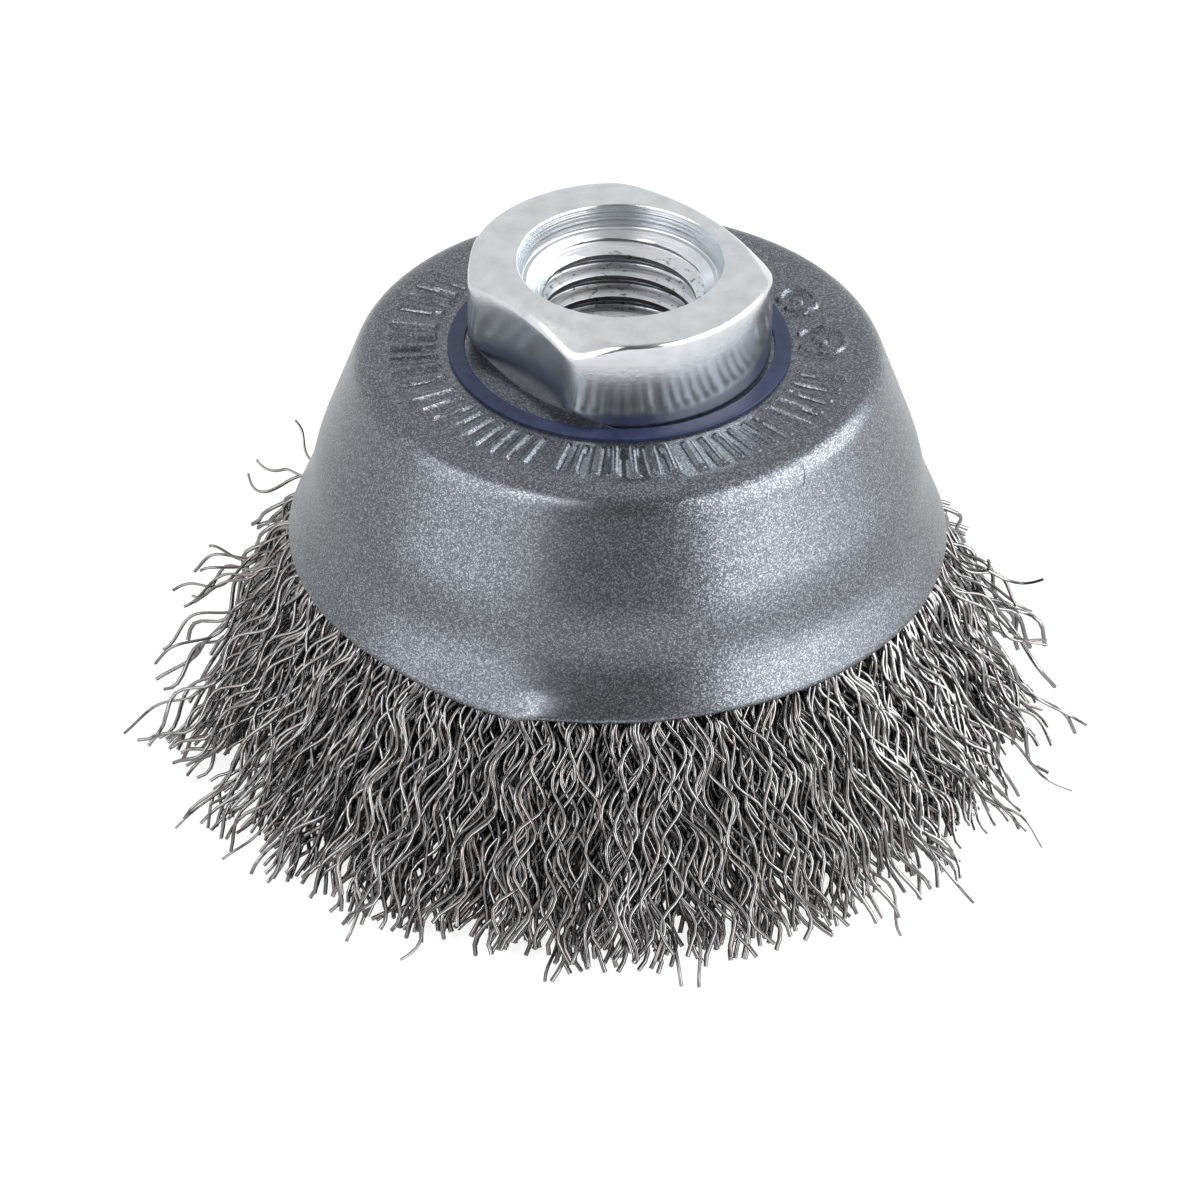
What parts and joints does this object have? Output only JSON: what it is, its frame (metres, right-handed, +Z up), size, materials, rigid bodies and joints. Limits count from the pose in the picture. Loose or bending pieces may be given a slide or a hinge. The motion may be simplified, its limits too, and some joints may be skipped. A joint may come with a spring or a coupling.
{
  "type": "wire cup brush",
  "caption": "Crimped wire cup brush: a painted pressed cup with a threaded arbor nut on top and a flared skirt of wavy steel wire below.",
  "frame": {"origin": "on the brush's axis, on the level plane through the trimmed wire tips", "axes": "+Z up the axis from the wire tips to the arbor nut; the camera of the picture looks along +Y; the nut's wrench flats face 39 and 219 degrees from +X"},
  "size_m": [0.083, 0.0832, 0.042],
  "materials": {
    "cup_paint": "metallic grey enamel with a fine grain",
    "zinc_plate": "bright zinc plate with turning marks",
    "ring_colour": "glossy dark blue",
    "bare_steel": "plain pressed steel",
    "wire": "drawn steel wire"
  },
  "bodies": {
    "root": {"arbor_nut": "zinc_plate", "colour_ring": "ring_colour", "cup_shell": "cup_paint", "holding_hoop": "bare_steel", "inner_cup": "bare_steel", "wire_lock_01": "wire", "wire_lock_02": "wire", "wire_lock_03": "wire", "wire_lock_04": "wire", "wire_lock_05": "wire", "wire_lock_06": "wire", "wire_lock_07": "wire", "wire_lock_08": "wire", "wire_lock_09": "wire", "wire_lock_10": "wire", "wire_lock_11": "wire", "wire_lock_12": "wire", "wire_lock_13": "wire", "wire_lock_14": "wire", "wire_lock_15": "wire", "wire_lock_16": "wire", "wire_lock_17": "wire", "wire_lock_18": "wire", "wire_lock_19": "wire", "wire_lock_20": "wire", "wire_lock_21": "wire", "wire_lock_22": "wire", "wire_lock_23": "wire", "wire_lock_24": "wire", "wire_lock_25": "wire", "wire_lock_26": "wire", "wire_lock_27": "wire", "wire_lock_28": "wire", "wire_lock_29": "wire", "wire_lock_30": "wire", "wire_lock_31": "wire", "wire_lock_32": "wire", "wire_lock_33": "wire", "wire_lock_34": "wire", "wire_lock_35": "wire", "wire_lock_36": "wire", "wire_lock_37": "wire", "wire_lock_38": "wire", "wire_lock_39": "wire", "wire_lock_40": "wire", "wire_lock_41": "wire", "wire_lock_42": "wire", "wire_lock_43": "wire", "wire_lock_44": "wire", "wire_lock_45": "wire", "wire_lock_46": "wire", "wire_lock_47": "wire", "wire_lock_48": "wire"}
  },
  "joints": []
}
